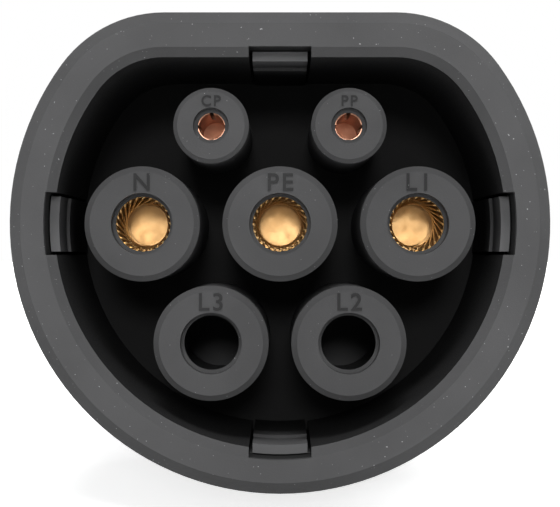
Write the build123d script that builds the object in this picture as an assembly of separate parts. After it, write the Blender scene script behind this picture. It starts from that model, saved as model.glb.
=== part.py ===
from build123d import *
import math
import os

# Charging plug for a vehicle: seven-position D-shaped face, single-phase version.
# Working frame: the mating axis is Y and the plug faces -Y. The rim lies at Y = 0 and the
# axis of the centre (earth) contact at X = Z = 0. The collar's flat side is up (+Z).
# Each piece is moved on export, so that the plug stands on Z = 0 with the origin under its
# middle. All lengths are in millimetres.

# ---- Driving sizes: contact layout ----
contact_pitch = 17.0            # centre to centre of neighbouring power contacts
signal_rise = 12.1              # signal contacts above the middle row
power_pin_diameter = 6.0
signal_pin_diameter = 3.0

# ---- Driving sizes: collar ----
collar_radius = 33.0            # outer radius of the round side
collar_flat_height = 25.8       # outer flat side above the middle row
collar_corner_radius = 15.5
collar_wall = 5.5
collar_length = 54.0
outer_bevel = 1.5
inner_bevel = 1.1
cavity_depth = 30.0
cavity_draft = 0.6              # degrees
flange_height = 2.4
flange_thickness = 3.0
lock_recess_width = 8.0
lock_recess_length = 9.0
lock_recess_depth = 3.0
lock_recess_start = 14.0

# ---- Driving sizes: contact carrier ----
boss_setback = 2.8              # boss faces behind the rim
power_boss_diameter = 14.2
power_boss_bevel = 0.7
power_mouth_diameter = 7.6
power_mouth_depth = 2.2         # from a boss face to the lip that covers the contact
signal_boss_diameter = 9.3
signal_boss_bevel = 0.5
signal_mouth_diameter = 4.4
signal_mouth_depth = 1.5
lip_thickness = 0.7
carrier_plate_thickness = 5.0
spigot_wall = 1.4               # sleeve wall inside the carrier plate

# ---- Driving sizes: latch arms and their channels ----
latch_width = 6.8
latch_thickness = 1.15
latch_setback = 4.3             # latch tips behind the rim
latch_nose_length = 7.2
latch_step = 0.4                # the arm behind the nose is this much thicker
latch_hook_setback = 1.5
latch_hook_length = 3.0
latch_hook_height = 0.9

# ---- Driving sizes: contacts ----
power_contact_wall = 1.0
cage_ring_wall = 0.4
cage_ring_length = 1.2
cage_length = 12.0
lamella_count = 16
lamella_width = 0.45
lamella_thickness = 0.2
lamella_grip = 0.06             # the lamellae stand this far inside the pin's surface
floor_pad_radius = 2.6
floor_pad_height = 1.0
power_barrel_length = 12.0
power_wire_diameter = 4.6
signal_contact_wall = 0.55
signal_contact_depth = 14.0
signal_slot_width = 0.5
signal_slot_length = 9.0
signal_barrel_length = 8.0
signal_wire_diameter = 2.0
barrel_wall = 0.8
shoulder_height = 1.0
shoulder_length = 2.0

# ---- Driving sizes: retainer and coding resistor ----
retainer_thickness = 3.0
retainer_screw_edge = 6.5       # side screws in from the plate's edge
retainer_screw_drop = 9.0       # side screws below the middle row
retainer_screw_depth = 7.0
retainer_screw_radius = 1.5
retainer_head_radius = 2.7
retainer_head_height = 1.6
resistor_radius = 1.3
resistor_length = 4.6
resistor_lead_radius = 0.35
resistor_eyelet_wall = 0.5
resistor_eyelet_length = 0.8

# ---- Driving sizes: housing ----
guard_length = 24.0
guard_margin = 5.0              # guard outside the collar
guard_bevel = 2.5
foot_drop = 36.0                # flat foot below the middle row
housing_wall = 3.6
groove_rib = 5.0                # wall in front of the collar's flange
gasket_thickness = 1.4
grip_length = 108.0             # from the middle of the guard to the tail
shoulder_half_width = 31.0
shoulder_half_height = 30.0
waist_half_width = 19.0
waist_half_height = 20.5
waist_share = 0.45              # the waist lies at this share of the grip's length
grip_spans = 6                  # lofted spans along the grip
tail_half_width = 15.5
tail_half_height = 14.4
pad_depth = 1.6
pad_length = 56.0
pad_height = 18.0
pad_start = 38.0                # from the start of the grip
housing_screw_radius = 1.6
housing_screw_length = 16.0
housing_head_radius = 3.0
housing_head_height = 2.2
housing_head_seat = 8.0         # from the parting plane
housing_boss_wall = 1.5
guard_screw_rise = 20.0
grip_screw_starts = [36.0, 64.0]   # from the start of the grip

# ---- Driving sizes: cord clamp and gland ----
cord_diameter = 13.0            # the cord that the gland takes
clamp_start = 78.0              # from the start of the grip
clamp_length = 12.0
clamp_gap = 1.0
clamp_screw_radius = 1.5
clamp_screw_length = 8.0
clamp_head_radius = 2.4
clamp_head_height = 1.5
gland_radius = 15.0             # over the nut
gland_nut_length = 24.0
gland_nut_wall = 3.2
gland_dome_length = 7.0
gland_tube_wall = 2.0
gland_flange_height = 1.8
gland_flange_thickness = 2.5
gland_collar_length = 4.0
gland_seat_length = 9.0
gland_seal_wall = 2.4
claw_count = 8
claw_slot_width = 1.2
claw_length = 7.0
claw_wall = 1.6
flute_count = 12
flute_radius = 1.6
flute_depth = 0.9

# ---- Clearances ----
pin_gap = 0.4                   # lip holes round the pins
slip_gap = 0.1                  # between rigid pieces that slide together
latch_gap = 0.2                 # latch arms in their channels
latch_side_gap = 0.42
soft_gap = 0.3                  # round soft pieces and along curved faces
cord_gap = 0.4                  # hard pieces round the cord

# ---- Places worked out from the sizes above ----
lower_row = -contact_pitch * math.sqrt(3) / 2
power_places = {
    "n": (-contact_pitch, 0.0),
    "pe": (0.0, 0.0),
    "l1": (contact_pitch, 0.0),
    "l2": (contact_pitch / 2, lower_row),
    "l3": (-contact_pitch / 2, lower_row),
}
signal_places = {
    "cp": (-contact_pitch / 2, signal_rise),
    "pp": (contact_pitch / 2, signal_rise),
}
fitted_power = ["n", "pe", "l1"]

carrier_back = cavity_depth + carrier_plate_thickness
shoulder_front = carrier_back - shoulder_length
retainer_back = carrier_back + retainer_thickness

power_lip_radius = power_pin_diameter / 2 + pin_gap
power_lip_front = boss_setback + power_mouth_depth
power_contact_front = power_lip_front + lip_thickness + slip_gap
cage_inner_radius = power_pin_diameter / 2 + slip_gap + slip_gap / 2
cage_outer_radius = cage_inner_radius + cage_ring_wall
power_contact_bore = cage_outer_radius + slip_gap / 2
power_contact_radius = power_contact_bore + power_contact_wall
power_bore_radius = power_contact_radius + slip_gap
power_spigot_radius = power_bore_radius + spigot_wall
power_barrel_radius = power_wire_diameter / 2 + barrel_wall

signal_lip_radius = signal_pin_diameter / 2 + pin_gap / 2
signal_lip_front = boss_setback + signal_mouth_depth
signal_contact_front = signal_lip_front + lip_thickness + slip_gap
signal_contact_bore = signal_pin_diameter / 2 + slip_gap
signal_contact_radius = signal_contact_bore + signal_contact_wall
signal_bore_radius = signal_contact_radius + slip_gap
signal_spigot_radius = signal_bore_radius + spigot_wall
signal_barrel_radius = signal_wire_diameter / 2 + barrel_wall / 2

channel_inset = collar_wall - inner_bevel - slip_gap
latch_inset = channel_inset + latch_gap

retainer_screw_side = collar_radius - latch_inset - retainer_screw_edge
# Three screws hold the retainer: two beside the power contacts and one between the signal ones.
retainer_screw_places = [
    (-retainer_screw_side, -retainer_screw_drop),
    (retainer_screw_side, -retainer_screw_drop),
    (0.0, signal_rise),
]

flange_front = collar_length - flange_thickness
groove_front = flange_front - gasket_thickness - 2 * soft_gap
guard_start = groove_front - groove_rib
guard_back = guard_start + guard_length
grip_start = guard_start + guard_length / 2
tail_end = grip_start + grip_length
tail_drop = foot_drop - gland_radius

cord_radius = cord_diameter / 2
gland_bore_radius = cord_radius + cord_gap
gland_exit_radius = cord_radius + soft_gap
gland_neck_radius = gland_bore_radius + gland_tube_wall
gland_seat_radius = gland_exit_radius + gland_seal_wall + soft_gap
gland_nut_front = tail_end + gland_collar_length + soft_gap
gland_nut_back = gland_nut_front + gland_nut_length
gland_nut_bore = gland_radius - gland_nut_wall
gland_thread_radius = gland_nut_bore - slip_gap
plug_middle = gland_nut_back / 2


# ---- Basic shapes ----
def along_y(radius, front, back, x=0.0, z=0.0):
    """A cylinder along Y from front to back."""
    turned = Location((x, front, z), (-90, 0, 0))
    return turned * Cylinder(radius, back - front, align=(Align.CENTER, Align.CENTER, Align.MIN))


def along_x(radius, left, right, y, z):
    """A cylinder along X from left to right."""
    turned = Location((left, y, z), (0, 90, 0))
    return turned * Cylinder(radius, right - left, align=(Align.CENTER, Align.CENTER, Align.MIN))


def block(x_span, y_span, z_span):
    """A box between the two ends of each span."""
    sizes = [span[1] - span[0] for span in (x_span, y_span, z_span)]
    middle = tuple((span[0] + span[1]) / 2 for span in (x_span, y_span, z_span))
    return Location(middle) * Box(*sizes)


def tube(outer, inner, front, back, x=0.0, z=0.0):
    return along_y(outer, front, back, x, z) - along_y(inner, front, back, x, z)


def d_outline(inset):
    """The collar's outline moved inwards: a circle with a flat side and two round corners."""
    radius = collar_radius - inset
    flat = collar_flat_height - inset
    corner = collar_corner_radius - inset
    drop = flat - corner
    corner_x = math.sqrt((radius - corner) ** 2 - drop ** 2)
    half_turn = (math.atan2(drop, corner_x) + math.pi / 2) / 2
    side_x = corner_x * radius / (radius - corner)
    side_z = drop * radius / (radius - corner)
    middle_x = corner_x + corner * math.cos(half_turn)
    middle_z = drop + corner * math.sin(half_turn)
    top = Line((-corner_x, flat), (corner_x, flat))
    right = ThreePointArc((corner_x, flat), (middle_x, middle_z), (side_x, side_z))
    bowl = ThreePointArc((side_x, side_z), (0, -radius), (-side_x, side_z))
    left = ThreePointArc((-side_x, side_z), (-middle_x, middle_z), (-corner_x, flat))
    return make_face([top, right, bowl, left])


def d_prism(inset, front, back, taper=0.0):
    """The collar's outline as a prism along Y. A taper narrows it towards the back."""
    face = Location((0, front, 0)) * (Plane.XZ * d_outline(inset))
    return extrude(face, amount=back - front, dir=(0, 1, 0), taper=taper)


def latch_bars(width, outer_inset, inner_inset, front, back):
    """One bar on each of the four sides, between two insets from the collar's outline."""
    half = width / 2
    ring = d_prism(outer_inset, front, back) - d_prism(inner_inset, front, back)
    reach = collar_radius
    upright = block((-half, half), (front, back), (-reach, reach))
    level = block((-reach, reach), (front, back), (-half, half))
    return (ring & upright) + (ring & level)


def grip_middle(share):
    """Height of the grip's middle line at a share of its length: an easy S-bend down."""
    return -tail_drop * share * share * (3 - 2 * share)


def grip_half_size(share, shoulder, waist, tail):
    """Half width or half height of the grip, eased from shoulder to waist to tail."""
    if share < waist_share:
        part = share / waist_share
        start, end = shoulder, waist
    else:
        part = (share - waist_share) / (1 - waist_share)
        start, end = waist, tail
    return start + (end - start) * part * part * (3 - 2 * part)


def grip_form(inset, ruled=True):
    """The grip as a loft through ellipses, moved inwards by inset. Inner forms are ruled."""
    sections = []
    for step in range(grip_spans + 1):
        share = step / grip_spans
        half_width = grip_half_size(share, shoulder_half_width, waist_half_width, tail_half_width)
        half_height = grip_half_size(
            share, shoulder_half_height, waist_half_height, tail_half_height
        )
        y = grip_start + grip_length * share
        plane = Plane(origin=(0, y, grip_middle(share)), x_dir=(1, 0, 0), z_dir=(0, 1, 0))
        sections.append(plane * Ellipse(half_width - inset, half_height - inset))
    return loft(sections, ruled=ruled)


def grip_share(y):
    return (y - grip_start) / grip_length


# ---- Collar ----
def collar_shell():
    body = d_prism(0, 0, collar_length)
    body = chamfer(body.edges().group_by(Axis.Y)[0], outer_bevel)
    body += d_prism(-flange_height, flange_front, collar_length)
    body -= d_prism(collar_wall, 0, cavity_depth, cavity_draft)
    body -= d_prism(collar_wall - inner_bevel, 0, inner_bevel, 45)
    body -= d_prism(channel_inset, cavity_depth, collar_length)
    channel_width = latch_width + 2 * latch_side_gap
    channel_floor = collar_wall + latch_thickness
    body -= latch_bars(channel_width, channel_inset, channel_floor, 0, cavity_depth)
    window_front = latch_setback + latch_hook_setback - latch_gap
    window_back = window_front + latch_hook_length + 2 * latch_gap
    window_inset = latch_inset - latch_hook_height - latch_gap
    body -= latch_bars(channel_width, window_inset, channel_floor, window_front, window_back)
    half_lock = lock_recess_width / 2
    body -= block(
        (-half_lock, half_lock),
        (lock_recess_start, lock_recess_start + lock_recess_length),
        (collar_flat_height - lock_recess_depth, collar_flat_height + lock_recess_depth),
    )
    return body


# ---- Contact carrier and its sleeves ----
def latch_arms():
    nose_back = latch_setback + latch_nose_length
    nose_floor = latch_inset + latch_thickness
    arms = latch_bars(latch_width, latch_inset, nose_floor, latch_setback, nose_back)
    root_floor = nose_floor + latch_step
    arms += latch_bars(latch_width, latch_inset, root_floor, nose_back, carrier_back)
    hook_front = latch_setback + latch_hook_setback
    hook_outer = latch_inset - latch_hook_height
    hook_back = hook_front + latch_hook_length
    arms += latch_bars(latch_width, hook_outer, nose_floor, hook_front, hook_back)
    return arms


def contact_carrier():
    """The plate that carries the sleeves, with its four latch arms."""
    body = d_prism(latch_inset, cavity_depth, carrier_back) + latch_arms()
    for x, z in power_places.values():
        body -= along_y(power_spigot_radius + slip_gap, cavity_depth, carrier_back, x, z)
    for x, z in signal_places.values():
        body -= along_y(signal_spigot_radius + slip_gap, cavity_depth, carrier_back, x, z)
    screw_end = retainer_back - retainer_screw_depth
    for x, z in retainer_screw_places:
        hole_radius = retainer_screw_radius + slip_gap / 2
        body -= along_y(hole_radius, screw_end - slip_gap, carrier_back, x, z)
    return body


def sleeve(radius, bevel, mouth_radius, lip_front, lip_radius, bore_radius, spigot_radius):
    """A tubular boss: a mouth, a lip that shields the contact, its chamber and a spigot."""
    body = along_y(radius, boss_setback, cavity_depth)
    body = chamfer(body.edges().group_by(Axis.Y)[0], bevel)
    body += along_y(spigot_radius, cavity_depth, shoulder_front)
    body -= along_y(mouth_radius, boss_setback, lip_front)
    body -= along_y(lip_radius, lip_front, shoulder_front)
    return body - along_y(bore_radius, lip_front + lip_thickness, shoulder_front)


def power_sleeve(x, z):
    return Location((x, 0, z)) * sleeve(
        power_boss_diameter / 2, power_boss_bevel, power_mouth_diameter / 2,
        power_lip_front, power_lip_radius, power_bore_radius, power_spigot_radius,
    )


def signal_sleeve(x, z):
    return Location((x, 0, z)) * sleeve(
        signal_boss_diameter / 2, signal_boss_bevel, signal_mouth_diameter / 2,
        signal_lip_front, signal_lip_radius, signal_bore_radius, signal_spigot_radius,
    )


# ---- Power contacts ----
def socket_contact(x, z):
    bore_floor = power_contact_front + cage_length
    body = along_y(power_contact_radius, power_contact_front, carrier_back, x, z)
    shoulder_radius = power_contact_radius + shoulder_height
    body += along_y(shoulder_radius, shoulder_front, carrier_back, x, z)
    barrel_back = retainer_back + power_barrel_length
    body += along_y(power_barrel_radius, carrier_back, barrel_back, x, z)
    body -= along_y(power_contact_bore, power_contact_front, bore_floor, x, z)
    body += along_y(floor_pad_radius, bore_floor - floor_pad_height, bore_floor, x, z)
    wire_front = retainer_back + barrel_wall
    body -= along_y(power_wire_diameter / 2, wire_front, barrel_back, x, z)
    return body


def lamella(turn_start, twist, end_radius, front, back):
    """One straight strip from ring to ring. Its ends are turned by twist, so it bows inwards."""
    start = Vector(end_radius * math.cos(turn_start), front, end_radius * math.sin(turn_start))
    turn_end = turn_start + twist
    end = Vector(end_radius * math.cos(turn_end), back, end_radius * math.sin(turn_end))
    turn_middle = turn_start + twist / 2
    outwards = Vector(math.cos(turn_middle), 0, math.sin(turn_middle))
    plane = Plane(origin=(start + end) * 0.5, x_dir=outwards, z_dir=end - start)
    return plane * Box(lamella_thickness, lamella_width, (end - start).length)


def contact_cage(x, z):
    """Twisted lamellae between two rings: their waist grips the pin."""
    front = power_contact_front
    back = front + cage_length
    end_radius = (cage_inner_radius + cage_outer_radius) / 2
    waist_radius = power_pin_diameter / 2 - lamella_grip + lamella_thickness / 2
    twist = 2 * math.acos(waist_radius / end_radius)
    cage = tube(cage_outer_radius, cage_inner_radius, front, front + cage_ring_length)
    cage += tube(cage_outer_radius, cage_inner_radius, back - cage_ring_length, back)
    strips = []
    for step in range(lamella_count):
        turn = 2 * math.pi * step / lamella_count
        strip_front = front + cage_ring_length / 2
        strip_back = back - cage_ring_length / 2
        strips.append(lamella(turn, twist, end_radius, strip_front, strip_back))
    cage = cage.fuse(*strips)
    return Location((x, 0, z)) * cage


# ---- Signal contacts ----
def signal_contact(x, z):
    bore_floor = signal_contact_front + signal_contact_depth
    body = along_y(signal_contact_radius, signal_contact_front, carrier_back, x, z)
    shoulder_radius = signal_contact_radius + shoulder_height
    body += along_y(shoulder_radius, shoulder_front, carrier_back, x, z)
    barrel_back = retainer_back + signal_barrel_length
    body += along_y(signal_barrel_radius, carrier_back, barrel_back, x, z)
    body -= along_y(signal_contact_bore, signal_contact_front, bore_floor, x, z)
    reach = signal_contact_radius + slip_gap
    half_slot = signal_slot_width / 2
    slot_span = (signal_contact_front, signal_contact_front + signal_slot_length)
    body -= block((x - reach, x + reach), slot_span, (z - half_slot, z + half_slot))
    body -= block((x - half_slot, x + half_slot), slot_span, (z - reach, z + reach))
    wire_front = retainer_back + barrel_wall
    body -= along_y(signal_wire_diameter / 2, wire_front, barrel_back, x, z)
    return body


# ---- Retainer, its screws and the coding resistor ----
def contact_retainer():
    plate = d_prism(latch_inset, carrier_back, retainer_back)
    for name in fitted_power:
        x, z = power_places[name]
        plate -= along_y(power_barrel_radius + slip_gap, carrier_back, retainer_back, x, z)
    for x, z in signal_places.values():
        plate -= along_y(signal_barrel_radius + slip_gap, carrier_back, retainer_back, x, z)
    for x, z in retainer_screw_places:
        plate -= along_y(retainer_screw_radius + slip_gap, carrier_back, retainer_back, x, z)
    return plate


def retainer_screw(x, z):
    screw = along_y(retainer_screw_radius, retainer_back - retainer_screw_depth, retainer_back, x, z)
    head_back = retainer_back + retainer_head_height
    screw += along_y(retainer_head_radius, retainer_back, head_back, x, z)
    socket = Plane.XZ * RegularPolygon(retainer_screw_radius, 6)
    recess = extrude(socket, amount=retainer_head_height / 2, dir=(0, 1, 0))
    return screw - Location((x, head_back - retainer_head_height / 2, z)) * recess


def coding_resistor():
    """A resistor whose leads end in eyelets round the proximity and the earth barrel."""
    pp_x, pp_z = signal_places["pp"]
    front = retainer_back + retainer_head_height + slip_gap
    middle_y = front + resistor_eyelet_length / 2
    pp_inner = signal_barrel_radius + slip_gap / 2
    pe_inner = power_barrel_radius + slip_gap / 2
    back = front + resistor_eyelet_length
    pp_outer = pp_inner + resistor_eyelet_wall
    pe_outer = pe_inner + resistor_eyelet_wall
    spread = math.hypot(pp_x, pp_z)
    towards = Vector(pp_x / spread, 0, pp_z / spread)
    lead_start = pe_inner + resistor_eyelet_wall / 2
    lead_length = spread - pp_inner - resistor_eyelet_wall / 2 - lead_start
    middle = towards * (lead_start + lead_length / 2) + Vector(0, middle_y, 0)
    plane = Plane(origin=middle, z_dir=towards)
    body = plane * Cylinder(resistor_lead_radius, lead_length)
    body += plane * Cylinder(resistor_radius, resistor_length)
    body += tube(pe_outer, pe_inner, front, back)
    body += tube(pp_outer, pp_inner, front, back, pp_x, pp_z)
    return body


# ---- Housing ----
def guard_form():
    """The guard: wider than the collar, flat on top, with a flat foot below."""
    body = d_prism(-guard_margin, guard_start, guard_back)
    rims = body.edges().group_by(Axis.Y)
    body = chamfer(rims[0] + rims[-1], guard_bevel)
    reach = collar_radius + guard_margin
    return body - block((-reach, reach), (guard_start, guard_back), (-2 * reach, -foot_drop))


def housing_outside():
    return guard_form() + grip_form(0, ruled=False)


def housing_inside():
    """What is taken out of the housing: the collar's seat, its groove and the hollow."""
    inside = d_prism(-soft_gap, guard_start, groove_front)
    groove_back = collar_length + soft_gap
    inside += d_prism(-flange_height - soft_gap, groove_front, groove_back)
    hollow_back = guard_back - housing_wall
    hollow_inset = housing_wall - guard_margin
    rib_back = groove_back + housing_wall
    inside += d_prism(collar_wall, groove_back, rib_back)
    inside += d_prism(hollow_inset, rib_back, hollow_back)
    reach = shoulder_half_width
    tail_wall = block((-reach, reach), (tail_end - housing_wall, tail_end), (-foot_drop, reach))
    inside += grip_form(housing_wall) - tail_wall
    tail_z = grip_middle(1)
    neck_radius = gland_neck_radius + slip_gap
    inside += along_y(neck_radius, tail_end - 2 * housing_wall, tail_end, 0, tail_z)
    return inside


def housing_screw_places():
    """Two screws in the guard, and two above and below the cord at each grip station."""
    guard_y = (collar_length + soft_gap + housing_wall + guard_back - housing_wall) / 2
    places = [(guard_y, guard_screw_rise), (guard_y, -guard_screw_rise)]
    for start in grip_screw_starts:
        y = grip_start + start
        share = grip_share(y)
        half_height = grip_half_size(
            share, shoulder_half_height, waist_half_height, tail_half_height
        )
        spread = half_height - housing_wall - housing_head_radius - slip_gap
        places.append((y, grip_middle(share) + spread))
        places.append((y, grip_middle(share) - spread))
    return places


def housing_shell():
    outside = housing_outside()
    shell = outside - housing_inside()
    boss_radius = housing_head_radius + slip_gap + housing_boss_wall
    reach = collar_radius + guard_margin
    hole_end = housing_head_seat - housing_screw_length - slip_gap
    for y, z in housing_screw_places():
        shell += outside & along_x(boss_radius, -reach, reach, y, z)
    for y, z in housing_screw_places():
        shell -= along_x(housing_screw_radius + slip_gap, hole_end, housing_head_seat, y, z)
        shell -= along_x(housing_head_radius + slip_gap, housing_head_seat, reach, y, z)
    return shell


def housing_screw(y, z):
    left = housing_head_seat - housing_screw_length
    head_end = housing_head_seat + housing_head_height
    screw = along_x(housing_screw_radius, left, housing_head_seat, y, z)
    screw += along_x(housing_head_radius, housing_head_seat, head_end, y, z)
    socket = Plane.YZ * RegularPolygon(housing_screw_radius, 6)
    recess = extrude(socket, amount=housing_head_height / 2, dir=(1, 0, 0))
    return screw - Location((head_end - housing_head_height / 2, y, z)) * recess


def pad_window(side, gap):
    """The outline of a grip pad, pushed through one side of the grip."""
    start = grip_start + pad_start
    middle_y = start + pad_length / 2
    rise = grip_middle(grip_share(start + pad_length)) - grip_middle(grip_share(start))
    slope = math.degrees(math.atan2(rise, pad_length))
    middle_z = grip_middle(grip_share(middle_y))
    outline = SlotOverall(pad_length + 2 * gap, pad_height + 2 * gap)
    plane = Plane(origin=(0, middle_y, middle_z), x_dir=(0, 1, 0), z_dir=(1, 0, 0))
    face = plane * (Rot(0, 0, slope) * outline)
    return extrude(face, amount=side * shoulder_half_width)


# ---- Cord clamp and gland ----
def clamp_middle():
    return grip_middle(grip_share(grip_start + clamp_start + clamp_length / 2))


def clamp_screw_rise():
    return cord_radius + clamp_screw_radius + slip_gap + barrel_wall


def clamp_body():
    front = grip_start + clamp_start
    back = front + clamp_length
    reach = shoulder_half_width
    slab = block((-reach, reach), (front, back), (-foot_drop, foot_drop))
    body = grip_form(housing_wall + soft_gap) & slab
    body -= along_y(cord_radius, front, back, 0, clamp_middle())
    body -= block((-clamp_gap / 2, clamp_gap / 2), (front, back), (-foot_drop, foot_drop))
    half_length = clamp_screw_length / 2
    middle_y = (front + back) / 2
    for z in (clamp_middle() + clamp_screw_rise(), clamp_middle() - clamp_screw_rise()):
        hole = clamp_screw_radius + slip_gap
        body -= along_x(hole, -half_length - slip_gap, half_length, middle_y, z)
        body -= along_x(clamp_head_radius + slip_gap, half_length, reach, middle_y, z)
    return body


def clamp_screw(z):
    half_length = clamp_screw_length / 2
    middle_y = grip_start + clamp_start + clamp_length / 2
    screw = along_x(clamp_screw_radius, -half_length, half_length, middle_y, z)
    head_end = half_length + clamp_head_height
    return screw + along_x(clamp_head_radius, half_length, head_end, middle_y, z)


def gland_body():
    z = grip_middle(1)
    wall_front = tail_end - 2 * housing_wall
    flange_radius = gland_neck_radius + gland_flange_height
    body = along_y(gland_neck_radius, wall_front, tail_end, 0, z)
    collar_back = tail_end + gland_collar_length
    body += along_y(gland_thread_radius + slip_gap, tail_end, collar_back, 0, z)
    thread_back = collar_back + gland_seat_length
    body += along_y(gland_thread_radius, collar_back, thread_back, 0, z)
    body += along_y(
        flange_radius, tail_end - housing_wall - gland_flange_thickness,
        tail_end - housing_wall - slip_gap, 0, z
    )
    body -= along_y(gland_bore_radius, wall_front, thread_back, 0, z)
    body -= along_y(gland_seat_radius, collar_back, thread_back, 0, z)
    return body


def gland_seal():
    front = tail_end + gland_collar_length + soft_gap
    back = tail_end + gland_collar_length + gland_seat_length - soft_gap
    outer = gland_seat_radius - soft_gap
    return tube(outer, outer - gland_seal_wall, front, back, 0, grip_middle(1))


def gland_claw():
    z = grip_middle(1)
    front = tail_end + gland_collar_length + gland_seat_length
    back = front + claw_length
    outer = gland_bore_radius + claw_wall
    ring = tube(outer, gland_bore_radius, front, back, 0, z)
    reach = outer + slip_gap
    half_slot = claw_slot_width / 2
    slot = block((0, reach), (front + claw_wall, back), (-half_slot, half_slot))
    for step in range(claw_count):
        turn = 360 * step / claw_count
        ring -= Location((0, 0, z)) * (Rot(0, turn, 0) * slot)
    return ring


def gland_nut():
    z = grip_middle(1)
    dome_front = gland_nut_back - gland_dome_length
    body = along_y(gland_radius, gland_nut_front, gland_nut_back, 0, z)
    body = chamfer(body.edges().group_by(Axis.Y)[0], flute_depth)
    rear = body.edges().group_by(Axis.Y)[-1]
    body = chamfer(rear, gland_dome_length, gland_nut_wall)
    for step in range(flute_count):
        turn = 2 * math.pi * (step + 0.5) / flute_count
        reach = gland_radius + flute_radius - flute_depth
        flute_x = reach * math.sin(turn)
        flute_z = z + reach * math.cos(turn)
        body -= along_y(flute_radius, gland_nut_front, dome_front, flute_x, flute_z)
    body -= along_y(gland_nut_bore, gland_nut_front, dome_front, 0, z)
    body -= along_y(gland_exit_radius, dome_front, gland_nut_back, 0, z)
    return body


# ---- All pieces ----
def halves(body):
    """The part of a body on each side of the parting plane: left (-X) and right (+X)."""
    reach = 3 * collar_radius
    length = (-reach, gland_nut_back + reach)
    height = (-reach, reach)
    left = body - block((0, reach), length, height)
    right = body - block((-reach, 0), length, height)
    return left, right


def all_pieces():
    pieces = {}
    pieces["collar_shell"] = collar_shell()
    pieces["contact_carrier"] = contact_carrier()
    pieces["contact_retainer"] = contact_retainer()
    for name, (x, z) in power_places.items():
        pieces["sleeve_" + name] = power_sleeve(x, z)
    for name, (x, z) in signal_places.items():
        pieces["sleeve_" + name] = signal_sleeve(x, z)
    screws = [retainer_screw(x, z) for x, z in retainer_screw_places]
    pieces["retainer_screws"] = Compound(children=screws)
    for name in fitted_power:
        x, z = power_places[name]
        pieces["socket_contact_" + name] = socket_contact(x, z)
        pieces["contact_cage_" + name] = contact_cage(x, z)
    for name, (x, z) in signal_places.items():
        pieces["signal_contact_" + name] = signal_contact(x, z)
    pieces["coding_resistor"] = coding_resistor()

    gasket_front = groove_front + soft_gap
    gasket_back = gasket_front + gasket_thickness
    gasket = d_prism(-flange_height, gasket_front, gasket_back)
    pieces["collar_gasket"] = gasket - d_prism(-soft_gap, gasket_front, gasket_back)

    shell = housing_shell()
    pad_layer = grip_form(0, ruled=False) - grip_form(pad_depth)
    recess_layer = grip_form(-pad_depth) - grip_form(pad_depth + soft_gap)
    for side, name in ((-1, "left"), (1, "right")):
        shell -= recess_layer & pad_window(side, soft_gap)
        pieces["grip_pad_" + name] = pad_layer & pad_window(side, 0)
    pieces["handle_left"], pieces["handle_right"] = halves(shell)

    pieces["housing_screws"] = Compound(
        children=[housing_screw(y, z) for y, z in housing_screw_places()]
    )
    pieces["clamp_jaw_left"], pieces["clamp_jaw_right"] = halves(clamp_body())
    clamp_heights = (clamp_middle() + clamp_screw_rise(), clamp_middle() - clamp_screw_rise())
    pieces["clamp_screws"] = Compound(children=[clamp_screw(z) for z in clamp_heights])
    pieces["gland_body"] = gland_body()
    pieces["gland_seal"] = gland_seal()
    pieces["gland_claw"] = gland_claw()
    pieces["gland_nut"] = gland_nut()
    return pieces


os.makedirs("parts", exist_ok=True)
on_the_ground = Location((0, -plug_middle, foot_drop))
for node, piece in all_pieces().items():
    export_step(on_the_ground * piece, "parts/" + node + ".step")
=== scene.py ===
import bpy
import bmesh
import math
from mathutils import Matrix, Vector


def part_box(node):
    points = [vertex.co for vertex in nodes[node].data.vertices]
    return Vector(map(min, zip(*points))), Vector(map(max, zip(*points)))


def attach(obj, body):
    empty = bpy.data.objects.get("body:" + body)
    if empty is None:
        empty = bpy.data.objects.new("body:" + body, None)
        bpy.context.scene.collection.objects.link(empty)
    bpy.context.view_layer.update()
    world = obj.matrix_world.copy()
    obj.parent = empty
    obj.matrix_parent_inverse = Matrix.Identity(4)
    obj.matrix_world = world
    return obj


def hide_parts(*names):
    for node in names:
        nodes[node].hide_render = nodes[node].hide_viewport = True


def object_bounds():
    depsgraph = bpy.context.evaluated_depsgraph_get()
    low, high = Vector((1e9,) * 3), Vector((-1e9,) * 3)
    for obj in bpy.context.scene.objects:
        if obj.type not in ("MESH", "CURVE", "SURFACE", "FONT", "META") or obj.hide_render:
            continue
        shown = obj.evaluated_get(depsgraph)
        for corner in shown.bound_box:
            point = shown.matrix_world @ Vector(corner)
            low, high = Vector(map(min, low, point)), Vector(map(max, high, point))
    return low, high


# The looks of a charging plug: moulded plastic, ribbed grip inlays, gold and copper sockets
# with twisted lamellae, the letters beside each socket, and the plain studio round it.
# Lengths are in metres.

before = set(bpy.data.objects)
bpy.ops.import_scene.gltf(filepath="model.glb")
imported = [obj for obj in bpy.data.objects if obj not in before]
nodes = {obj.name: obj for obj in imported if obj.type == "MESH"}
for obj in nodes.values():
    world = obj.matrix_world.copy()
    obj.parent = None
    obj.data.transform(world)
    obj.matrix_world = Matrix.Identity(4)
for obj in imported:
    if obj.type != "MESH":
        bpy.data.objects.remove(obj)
cad_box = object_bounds()

MM = 0.001

# ---- Places read from the frame ----
earth_low, earth_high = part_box("socket_contact_pe")
cage_low, cage_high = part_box("contact_cage_pe")
rim_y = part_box("collar_shell")[0][1]
boss_face_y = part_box("sleeve_pe")[0][1]
socket_z = (earth_low[2] + earth_high[2]) / 2
ground_z = cad_box[0][2]

# ---- The standard contact layout of the face ----
POWER_CONTACTS = ("n", "pe", "l1")
contact_pitch = 17.0 * MM
signal_rise = 12.1 * MM
lower_row = -contact_pitch * math.sqrt(3) / 2


def srgb(red, green, blue):
    """A colour given as 0 to 255, as the shader wants it."""
    def linear(value):
        value /= 255
        return value / 12.92 if value <= 0.04045 else ((value + 0.055) / 1.055) ** 2.4
    return (linear(red), linear(green), linear(blue), 1.0)


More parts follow.
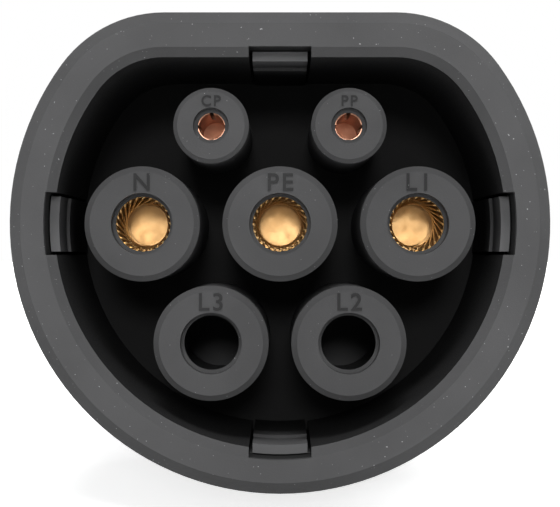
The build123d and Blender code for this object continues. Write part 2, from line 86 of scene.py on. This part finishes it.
# ---- Materials ----
class Finish:
    """A node material with one Principled shader, and short calls for its usual nodes."""

    def __init__(self, name, roughness=0.5, metallic=0.0, specular=0.3):
        self.material = bpy.data.materials.new(name)
        self.material.use_nodes = True
        self.tree = self.material.node_tree
        self.shader = self.tree.nodes["Principled BSDF"]
        self.shader.inputs["Roughness"].default_value = roughness
        self.shader.inputs["Metallic"].default_value = metallic
        self.shader.inputs["Specular IOR Level"].default_value = specular
        self.place = self.add("ShaderNodeTexCoord").outputs["Object"]

    def add(self, kind, **values):
        node = self.tree.nodes.new(kind)
        for key, value in values.items():
            setattr(node, key, value)
        return node

    def link(self, source, target):
        self.tree.links.new(source, target)

    def noise(self, scale, detail=2.0, roughness=0.5, stretch=None):
        node = self.add("ShaderNodeTexNoise")
        node.inputs["Scale"].default_value = scale
        node.inputs["Detail"].default_value = detail
        node.inputs["Roughness"].default_value = roughness
        place = self.place
        if stretch:
            mapping = self.add("ShaderNodeMapping")
            mapping.inputs["Scale"].default_value = stretch
            self.link(self.place, mapping.inputs["Vector"])
            place = mapping.outputs["Vector"]
        self.link(place, node.inputs["Vector"])
        return node.outputs["Fac"]

    def ramp(self, source, stops):
        node = self.add("ShaderNodeValToRGB")
        elements = node.color_ramp.elements
        while len(elements) < len(stops):
            elements.new(0.5)
        for element, (position, colour) in zip(elements, stops):
            element.position = position
            element.color = colour
        self.link(source, node.inputs["Fac"])
        return node.outputs["Color"]

    def span(self, source, low, high, start=0.3, end=0.7):
        """Turns the values from start to end into values from low to high."""
        node = self.add("ShaderNodeMapRange")
        node.inputs["From Min"].default_value = start
        node.inputs["From Max"].default_value = end
        node.inputs["To Min"].default_value = low
        node.inputs["To Max"].default_value = high
        self.link(source, node.inputs["Value"])
        return node.outputs["Result"]

    def bump(self, source, strength, distance, under=None):
        node = self.add("ShaderNodeBump")
        node.inputs["Strength"].default_value = strength
        node.inputs["Distance"].default_value = distance
        self.link(source, node.inputs["Height"])
        if under:
            self.link(under, node.inputs["Normal"])
        return node.outputs["Normal"]

    def blend(self, share, colour, other):
        """A colour that turns into a fixed other colour as the share goes from 0 to 1."""
        node = self.add("ShaderNodeMix", data_type="RGBA")
        self.link(share, node.inputs["Factor"])
        self.link(colour, node.inputs["A"])
        node.inputs["B"].default_value = other
        return node.outputs["Result"]

    def math(self, operation, first, second):
        node = self.add("ShaderNodeMath", operation=operation)
        self.link(first, node.inputs[0])
        if isinstance(second, float):
            node.inputs[1].default_value = second
        else:
            self.link(second, node.inputs[1])
        return node.outputs["Value"]

    def axes(self):
        node = self.add("ShaderNodeSeparateXYZ")
        self.link(self.place, node.inputs["Vector"])
        return node.outputs

    def complete(self, colour, roughness=None, normal=None):
        self.link(colour, self.shader.inputs["Base Color"])
        if roughness:
            self.link(roughness, self.shader.inputs["Roughness"])
        if normal:
            self.link(normal, self.shader.inputs["Normal"])
        return self.material


# Depths behind the rim, and the reach of the inner side round the middle socket, which bound
# the shade painted in the cavity.
DEEP_START = 5.0 * MM
DEEP_END = 17.0 * MM
INNER_START = 1.2 * MM
INNER_RADIUS = 29.0 * MM
INNER_TOP = 22.0 * MM


def depth_shade_share(finish):
    """Painted shade: 0 at the latch tips, 1 from about the cavity's middle to its floor."""
    return finish.span(finish.axes()["Y"], 0.0, 1.0, rim_y + DEEP_START, rim_y + DEEP_END)


def cavity_wall_shade_mask(finish):
    """1 on the collar's inner side behind its bevel, where shade is painted, 0 elsewhere."""
    axes = finish.axes()
    rise = finish.math("SUBTRACT", axes["Z"], socket_z)
    across = finish.math("MULTIPLY", axes["X"], axes["X"])
    upwards = finish.math("MULTIPLY", rise, rise)
    spread = finish.math("ADD", across, upwards)
    near = finish.math("LESS_THAN", spread, INNER_RADIUS ** 2)
    low = finish.math("LESS_THAN", rise, INNER_TOP)
    behind = finish.math("GREATER_THAN", axes["Y"], rim_y + INNER_START)
    return finish.math("MULTIPLY", finish.math("MULTIPLY", near, low), behind)


def grey(level):
    """A grey with a trace of blue."""
    return srgb(level, level, level * 1.01)


def moulded_plastic(name, dark, light, grain_depth, speck_level, inner=None, painted_shade_level=0):
    """Spark-eroded moulded plastic: fine grain, slow shade changes and a few pale specks.
    Where the mask called inner holds, a darker grey is painted in as shade."""
    finish = Finish(name, specular=0.1)
    cloud = finish.noise(90.0, 3.0)
    grain = finish.noise(5200.0, 3.0, 0.6)
    specks = finish.noise(3300.0, 1.0)
    shade = finish.ramp(cloud, [(0.3, grey(dark)), (0.7, grey(light))])
    speck_mask = finish.span(specks, 0.0, 1.0, 0.76, 0.8)
    shown = finish.blend(speck_mask, shade, grey(speck_level))
    # The inner mask marks where shade is painted; its level is the grey of that painted shade.
    if inner:
        shown = finish.blend(inner(finish), shown, grey(painted_shade_level))
    roughness = finish.span(grain, 0.58, 0.76)
    coarse = finish.bump(finish.noise(1500.0, 2.0), 0.25, grain_depth)
    fine = finish.bump(grain, 0.5, grain_depth, coarse)
    return finish.complete(shown, roughness, fine)


def soft_rubber(name):
    finish = Finish(name, specular=0.3)
    dust = finish.noise(700.0, 4.0, 0.65)
    grain = finish.noise(3800.0, 2.0)
    shade = finish.ramp(dust, [(0.35, grey(38)), (0.75, grey(54))])
    roughness = finish.span(dust, 0.62, 0.85)
    return finish.complete(shade, roughness, finish.bump(grain, 0.4, 0.04 * MM))


WALL_FRONT_MARGIN = 0.2 * MM
WALL_BACK_MARGIN = 1.1 * MM


def bore_wall_shade_mask(finish):
    """1 on the wall behind the lamellae, where shade is painted, 0 on the socket's lip and on
    its floor.
    """
    y = finish.axes()["Y"]
    behind = finish.math("GREATER_THAN", y, cage_low[1] + WALL_FRONT_MARGIN)
    before = finish.math("LESS_THAN", y, cage_high[1] - WALL_BACK_MARGIN)
    return finish.math("MULTIPLY", behind, before)


def plated_metal(name, deep, bright, smooth, rough, streak, painted_wall_shade=None):
    """Plated metal: fine tool marks and slight tarnish. Streak is how much finer the marks
    are along the plug's axis than round it: over 1 they become rings."""
    finish = Finish(name, metallic=1.0, specular=0.5)
    tarnish = finish.noise(420.0, 3.0, 0.6)
    marks = finish.noise(900.0, 2.0, 0.5, stretch=(1.0, streak, 1.0))
    shade = finish.ramp(tarnish, [(0.3, deep), (0.7, bright)])
    roughness = finish.span(marks, smooth, rough)
    # A given wall colour is painted shade on the bore wall behind the lamellae.
    if painted_wall_shade:
        shade = finish.blend(bore_wall_shade_mask(finish), shade, painted_wall_shade)
    return finish.complete(shade, roughness, finish.bump(marks, 0.1, 0.01 * MM))


def lacquered_resistor(name):
    """Tan lacquer, slightly clouded."""
    finish = Finish(name, roughness=0.35, specular=0.5)
    wash = finish.noise(600.0, 2.0)
    shade = finish.ramp(wash, [(0.3, srgb(160, 128, 84)), (0.7, srgb(178, 146, 100))])
    return finish.complete(shade, None, finish.bump(wash, 0.1, 0.03 * MM))


TURNED = 6.0
ROLLED = 1.0

# The collar's inner side behind its bevel is painted dark grey 42: painted shade in the
# cavity.
collar_plastic = moulded_plastic(
    "collar_plastic", dark=78, light=85, grain_depth=0.05 * MM, speck_level=170,
    inner=cavity_wall_shade_mask, painted_shade_level=42,
)
sleeve_plastic = moulded_plastic(
    "sleeve_plastic", dark=71, light=78, grain_depth=0.03 * MM, speck_level=150
)
# The letters are given a darker grey than the boss faces: painted shade.
letter_plastic_painted_shade = moulded_plastic(
    "letter_plastic_painted_shade", dark=44, light=52, grain_depth=0.02 * MM, speck_level=90
)
carrier_plastic = moulded_plastic(
    "carrier_plastic", dark=64, light=71, grain_depth=0.04 * MM, speck_level=110
)
# The floor plate darkens with depth to grey 26: painted shade deep in the cavity.
plate_plastic = moulded_plastic(
    "plate_plastic", dark=94, light=102, grain_depth=0.03 * MM, speck_level=150,
    inner=depth_shade_share, painted_shade_level=26,
)
handle_plastic = moulded_plastic(
    "handle_plastic", dark=68, light=75, grain_depth=0.07 * MM, speck_level=110
)
grip_rubber = soft_rubber("grip_rubber")
# The gold socket's wall behind the lamellae is painted darker: painted shade.
gold_plating = plated_metal(
    "gold_plating", deep=srgb(190, 150, 100), bright=srgb(206, 168, 118),
    smooth=0.4, rough=0.52, streak=TURNED, painted_wall_shade=srgb(140, 100, 50),
)
lamella_gold = plated_metal(
    "lamella_gold", deep=srgb(236, 200, 140), bright=srgb(248, 218, 164),
    smooth=0.36, rough=0.5, streak=TURNED,
)
copper_plating = plated_metal(
    "copper_plating", deep=srgb(204, 152, 124), bright=srgb(228, 178, 150),
    smooth=0.36, rough=0.5, streak=TURNED,
)
screw_steel = plated_metal(
    "screw_steel", deep=srgb(150, 150, 152), bright=srgb(190, 190, 192),
    smooth=0.25, rough=0.4, streak=ROLLED,
)
resistor_lacquer = lacquered_resistor("resistor_lacquer")

node_finishes = {
    "collar_shell": collar_plastic,
    "contact_carrier": plate_plastic,
    "contact_retainer": carrier_plastic,
    "clamp_jaw_left": carrier_plastic,
    "clamp_jaw_right": carrier_plastic,
    "gland_claw": carrier_plastic,
    "handle_left": handle_plastic,
    "handle_right": handle_plastic,
    "gland_body": handle_plastic,
    "gland_nut": handle_plastic,
    "retainer_screws": screw_steel,
    "housing_screws": screw_steel,
    "clamp_screws": screw_steel,
    "coding_resistor": resistor_lacquer,
    "signal_contact_cp": copper_plating,
    "signal_contact_pp": copper_plating,
}
for contact in POWER_CONTACTS:
    node_finishes["socket_contact_" + contact] = gold_plating
for position in ("n", "pe", "l1", "l2", "l3", "cp", "pp"):
    node_finishes["sleeve_" + position] = sleeve_plastic

for node, finish in node_finishes.items():
    slots = nodes[node].data.materials
    slots.clear()
    slots.append(finish)


# ---- Letters beside the sockets ----
LETTER_DEPTH = 0.3 * MM
POWER_LETTER_HEIGHT = 2.2 * MM
SIGNAL_LETTER_HEIGHT = 1.35 * MM
CAPITAL_SHARE = 0.73            # height of a capital as a share of the font's size
STROKE_SWELL = 0.018            # what is added to a stroke, as a share of the height
LETTER_SPACING = 1.2


def letters(words, x, z, height):
    """Raised letters on a boss face, read from in front of the plug."""
    curve = bpy.data.curves.new("letters_" + words, "FONT")
    curve.body = words
    curve.align_x = "CENTER"
    curve.size = height / CAPITAL_SHARE
    curve.offset = STROKE_SWELL * height
    curve.extrude = LETTER_DEPTH / 2
    curve.space_character = LETTER_SPACING
    source = bpy.data.objects.new("letters_source_" + words, curve)
    bpy.context.scene.collection.objects.link(source)
    bpy.context.view_layer.update()
    mesh = bpy.data.meshes.new_from_object(source)
    bpy.data.objects.remove(source)
    place = Matrix.Translation((x, boss_face_y, z)) @ Matrix.Rotation(math.radians(90), 4, "X")
    mesh.transform(place)
    mesh.materials.clear()
    mesh.materials.append(letter_plastic_painted_shade)
    piece = bpy.data.objects.new("letters_" + words, mesh)
    bpy.context.scene.collection.objects.link(piece)
    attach(piece, "root")
    return piece


POWER_LETTER_RISE = 4.1 * MM
SIGNAL_LETTER_RISE = 2.4 * MM
for words, x, z in (
    ("N", -contact_pitch, 0.0),
    ("PE", 0.0, 0.0),
    ("L1", contact_pitch, 0.0),
    ("L3", -contact_pitch / 2, lower_row),
    ("L2", contact_pitch / 2, lower_row),
):
    letters(words, x, socket_z + z + POWER_LETTER_RISE, POWER_LETTER_HEIGHT)
for words, x in (("CP", -contact_pitch / 2), ("PP", contact_pitch / 2)):
    letters(words, x, socket_z + signal_rise + SIGNAL_LETTER_RISE, SIGNAL_LETTER_HEIGHT)


# ---- Pieces that stand for a node ----
PAD_LENGTH = 56.0 * MM
PAD_HEIGHT = 18.0 * MM
RIB_PITCH = 4.0 * MM
RIB_WIDTH = 2.2 * MM
RIB_RISE = 0.55 * MM
RIB_HALF_REACH = 6.0 * MM
RIB_COUNT = 11
MERGE_DISTANCE = 0.001 * MM
SEAL_WALL = 2.4 * MM
SEAL_LIP_DEPTH = 0.7 * MM
SEAL_STEPS = 6
SEAL_SIDES = 72
SMOOTH_LIMIT = math.radians(38)
EASED_FROM = math.radians(40)


def finish_piece(bm, name, node, edge_width, finish=grip_rubber):
    """Turns a bmesh into a piece that stands for a node, with eased edges."""
    bmesh.ops.recalc_face_normals(bm, faces=bm.faces)
    mesh = bpy.data.meshes.new(name)
    bm.to_mesh(mesh)
    bm.free()
    mesh.materials.append(finish)
    mesh.shade_smooth()
    mesh.set_sharp_from_angle(angle=SMOOTH_LIMIT)
    piece = bpy.data.objects.new(name, mesh)
    bpy.context.scene.collection.objects.link(piece)
    if edge_width:
        easing = piece.modifiers.new("eased_edges", "BEVEL")
        easing.limit_method = "ANGLE"
        easing.angle_limit = EASED_FROM
        easing.width = edge_width
        easing.segments = 2
    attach(piece, "root")
    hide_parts(node)
    return piece


def merged_copy(node):
    bm = bmesh.new()
    bm.from_mesh(nodes[node].data)
    bmesh.ops.remove_doubles(bm, verts=bm.verts, dist=MERGE_DISTANCE)
    return bm


def ribbed_pad(side, node, name):
    """The grip inlay with raised finger ribs across it."""
    bm = merged_copy(node)
    low, high = (Vector(corner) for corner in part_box(node))
    middle = (low + high) / 2
    tilt = math.asin((high.z - low.z - PAD_HEIGHT) / (PAD_LENGTH - PAD_HEIGHT))
    along = Vector((0, math.cos(tilt), -math.sin(tilt)))
    across = Vector((0, math.sin(tilt), math.cos(tilt)))

    def cut(direction, distance):
        bmesh.ops.bisect_plane(
            bm, geom=bm.verts[:] + bm.edges[:] + bm.faces[:],
            plane_co=middle + direction * distance, plane_no=direction,
        )

    ribs = [(step - (RIB_COUNT - 1) / 2) * RIB_PITCH for step in range(RIB_COUNT)]
    for rib in ribs:
        cut(along, rib - RIB_WIDTH / 2)
        cut(along, rib + RIB_WIDTH / 2)
    cut(across, -RIB_HALF_REACH)
    cut(across, RIB_HALF_REACH)
    bm.normal_update()
    raised = []
    for face in bm.faces:
        place = face.calc_center_median() - middle
        rib_offset = min(abs(place.dot(along) - rib) for rib in ribs)
        in_rib = rib_offset < RIB_WIDTH / 2 and abs(place.dot(across)) < RIB_HALF_REACH
        if in_rib and face.normal.x * side > 0.5:
            raised.append(face)
    grown = bmesh.ops.extrude_face_region(bm, geom=raised)["geom"]
    left_inside = [face for face in raised if face.is_valid]
    bmesh.ops.delete(bm, geom=left_inside, context="FACES")
    tops = [part for part in grown if isinstance(part, bmesh.types.BMVert)]
    bmesh.ops.translate(bm, verts=tops, vec=(side * RIB_RISE, 0, 0))
    return finish_piece(bm, name, node, 0)


def seal_ring():
    """The gland's seal: a rubber sleeve with three lips inside that grip the cord."""
    low, high = (Vector(corner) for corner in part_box("gland_seal"))
    outer = (high.x - low.x) / 2
    lip = outer - SEAL_WALL
    valley = lip + SEAL_LIP_DEPTH
    middle_z = (low.z + high.z) / 2
    pitch = (high.y - low.y) / SEAL_STEPS
    profile = [(outer, low.y), (outer, high.y)]
    for step in range(SEAL_STEPS, -1, -1):
        profile.append((lip if step % 2 else valley, low.y + step * pitch))
    bm = bmesh.new()
    ring = [bm.verts.new((radius, y, middle_z)) for radius, y in profile]
    for start, end in zip(ring, ring[1:] + ring[:1]):
        bm.edges.new((start, end))
    bmesh.ops.spin(
        bm, geom=bm.verts[:] + bm.edges[:], cent=(0, 0, middle_z), axis=(0, 1, 0),
        angle=math.tau, steps=SEAL_SIDES, use_merge=True,
    )
    bmesh.ops.remove_doubles(bm, verts=bm.verts, dist=MERGE_DISTANCE)
    return finish_piece(bm, "seal_ring", "gland_seal", 0.2 * MM)


CAGE_STRIPS = 24
CAGE_TWIST = math.radians(66)
STRIP_WIDTH = 0.44 * MM
STRIP_THICKNESS = 0.16 * MM
STRIP_END_RADIUS = 3.32 * MM
CAGE_RING_WALL = 0.16 * MM
CAGE_RING_LENGTH = 0.5 * MM
CAGE_RING_SIDES = 64


def lamella_cage(contact):
    """Twisted strips between two thin rings: together they narrow to a waist."""
    node = "contact_cage_" + contact
    low, high = (Vector(corner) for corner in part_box(node))
    middle = (low + high) / 2
    outer = (high.x - low.x) / 2
    bm = bmesh.new()
    for front in (low.y, high.y - CAGE_RING_LENGTH):
        back = front + CAGE_RING_LENGTH
        inner = outer - CAGE_RING_WALL
        corners = [
            bm.verts.new((middle.x + radius, y, middle.z))
            for radius, y in ((inner, front), (inner, back), (outer, back), (outer, front))
        ]
        edges = [bm.edges.new(pair) for pair in zip(corners, corners[1:] + corners[:1])]
        bmesh.ops.spin(
            bm, geom=corners + edges, cent=middle, axis=(0, 1, 0),
            angle=math.tau, steps=CAGE_RING_SIDES, use_merge=True,
        )
    bmesh.ops.remove_doubles(bm, verts=bm.verts, dist=MERGE_DISTANCE)
    bmesh.ops.recalc_face_normals(bm, faces=bm.faces)
    half_ring = CAGE_RING_LENGTH / 2
    for step in range(CAGE_STRIPS):
        turn = math.tau * step / CAGE_STRIPS
        start = Vector((
            middle.x + STRIP_END_RADIUS * math.cos(turn),
            low.y + half_ring,
            middle.z + STRIP_END_RADIUS * math.sin(turn),
        ))
        end = Vector((
            middle.x + STRIP_END_RADIUS * math.cos(turn + CAGE_TWIST),
            high.y - half_ring,
            middle.z + STRIP_END_RADIUS * math.sin(turn + CAGE_TWIST),
        ))
        along = (end - start).normalized()
        half_turn = turn + CAGE_TWIST / 2
        outwards = Vector((math.cos(half_turn), 0, math.sin(half_turn)))
        sideways = along.cross(outwards)
        sizes = (
            outwards * STRIP_THICKNESS,
            along * (end - start).length,
            sideways * STRIP_WIDTH,
        )
        place = Matrix.Identity(4)
        for column, size in enumerate(sizes):
            place.col[column] = size.to_4d()
            place.col[column][3] = 0
        place.translation = (start + end) / 2
        bmesh.ops.create_cube(bm, size=1, matrix=place)
    return finish_piece(
        bm, "lamella_cage_" + contact, node, 0.03 * MM, lamella_gold
    )


for contact in POWER_CONTACTS:
    lamella_cage(contact)
ribbed_pad(-1, "grip_pad_left", "ribbed_pad_left")
ribbed_pad(1, "grip_pad_right", "ribbed_pad_right")
finish_piece(merged_copy("collar_gasket"), "gasket_ring", "collar_gasket", 0.3 * MM)
seal_ring()


# ---- Studio ----
FLOOR_TONE = 0.86
FLOOR_GLOW = 0.8
FLOOR_REACH = 6.0
WORLD_LIGHT = 0.13


def studio_floor():
    mesh = bpy.data.meshes.new("floor")
    bm = bmesh.new()
    bmesh.ops.create_grid(bm, x_segments=1, y_segments=1, size=FLOOR_REACH)
    bmesh.ops.translate(bm, verts=bm.verts, vec=(0, 0, ground_z))
    bm.to_mesh(mesh)
    bm.free()
    floor = bpy.data.objects.new("floor", mesh)
    bpy.context.scene.collection.objects.link(floor)
    material = bpy.data.materials.new("floor_white")
    material.use_nodes = True
    tree = material.node_tree
    shader = tree.nodes["Principled BSDF"]
    shader.inputs["Base Color"].default_value = (FLOOR_TONE, FLOOR_TONE, FLOOR_TONE, 1)
    shader.inputs["Roughness"].default_value = 0.9
    shader.inputs["Specular IOR Level"].default_value = 0.0
    shader.inputs["Emission Color"].default_value = (1, 1, 1, 1)
    path = tree.nodes.new("ShaderNodeLightPath")
    glow = tree.nodes.new("ShaderNodeMath")
    glow.operation = "MULTIPLY"
    glow.inputs[1].default_value = FLOOR_GLOW
    tree.links.new(path.outputs["Is Camera Ray"], glow.inputs[0])
    tree.links.new(glow.outputs[0], shader.inputs["Emission Strength"])
    mesh.materials.append(material)


def studio_world():
    """White where the camera, metal or glass looks at it, and a weak grey light elsewhere."""
    world = bpy.data.worlds.new("studio")
    bpy.context.scene.world = world
    world.use_nodes = True
    tree = world.node_tree
    tree.nodes.clear()
    path = tree.nodes.new("ShaderNodeLightPath")
    seen = tree.nodes.new("ShaderNodeMath")
    seen.operation = "MAXIMUM"
    tree.links.new(path.outputs["Is Camera Ray"], seen.inputs[0])
    tree.links.new(path.outputs["Is Glossy Ray"], seen.inputs[1])
    also = tree.nodes.new("ShaderNodeMath")
    also.operation = "MAXIMUM"
    tree.links.new(seen.outputs[0], also.inputs[0])
    tree.links.new(path.outputs["Is Transmission Ray"], also.inputs[1])
    white = tree.nodes.new("ShaderNodeBackground")
    white.inputs["Color"].default_value = (1, 1, 1, 1)
    weak = tree.nodes.new("ShaderNodeBackground")
    weak.inputs["Color"].default_value = (1, 1, 1, 1)
    weak.inputs["Strength"].default_value = WORLD_LIGHT
    mix = tree.nodes.new("ShaderNodeMixShader")
    tree.links.new(also.outputs[0], mix.inputs[0])
    tree.links.new(weak.outputs[0], mix.inputs[1])
    tree.links.new(white.outputs[0], mix.inputs[2])
    output = tree.nodes.new("ShaderNodeOutputWorld")
    tree.links.new(mix.outputs[0], output.inputs["Surface"])


def aim(thing, target):
    direction = Vector(target) - thing.location
    thing.rotation_euler = direction.to_track_quat("-Z", "Y").to_euler()


def soft_sun(name, elevation, azimuth, strength, spread):
    """A wide soft light. Azimuth 0 shines from in front of the plug, towards +Y."""
    light = bpy.data.lights.new(name, "SUN")
    light.energy = strength
    light.angle = math.radians(spread)
    lamp = bpy.data.objects.new(name, light)
    rise = math.radians(elevation)
    turn = math.radians(azimuth)
    lamp.location = (
        math.sin(turn) * math.cos(rise),
        -math.cos(turn) * math.cos(rise),
        math.sin(rise),
    )
    bpy.context.scene.collection.objects.link(lamp)
    aim(lamp, (0, 0, 0))


def near_lamp(power, size, forward, rise):
    """A small soft lamp close in front of the face, above its middle."""
    light = bpy.data.lights.new("near", "AREA")
    light.energy = power
    light.size = size
    lamp = bpy.data.objects.new("near", light)
    lamp.location = (0, rim_y - forward, socket_z + rise)
    lamp.visible_camera = False
    bpy.context.scene.collection.objects.link(lamp)
    aim(lamp, (0, rim_y, socket_z))


CAMERA_DISTANCE = 200.0 * MM
CAMERA_DROP = 3.65 * MM
CAMERA_LENS = 106.1


def studio_camera():
    data = bpy.data.cameras.new("camera")
    data.sensor_width = 36.0
    data.lens = CAMERA_LENS
    data.clip_start = 0.01
    camera = bpy.data.objects.new("camera", data)
    camera.location = (0, rim_y - CAMERA_DISTANCE, socket_z - CAMERA_DROP)
    bpy.context.scene.collection.objects.link(camera)
    aim(camera, (0, rim_y, socket_z - CAMERA_DROP))
    bpy.context.scene.camera = camera


studio_floor()
studio_world()
soft_sun("key", elevation=50, azimuth=0, strength=1.7, spread=20)
soft_sun("front", elevation=12, azimuth=0, strength=0.95, spread=9)
soft_sun("rear", elevation=42, azimuth=150, strength=2.2, spread=50)
near_lamp(power=0.022, size=50 * MM, forward=165 * MM, rise=40 * MM)
studio_camera()
bpy.context.scene.view_settings.view_transform = "Standard"
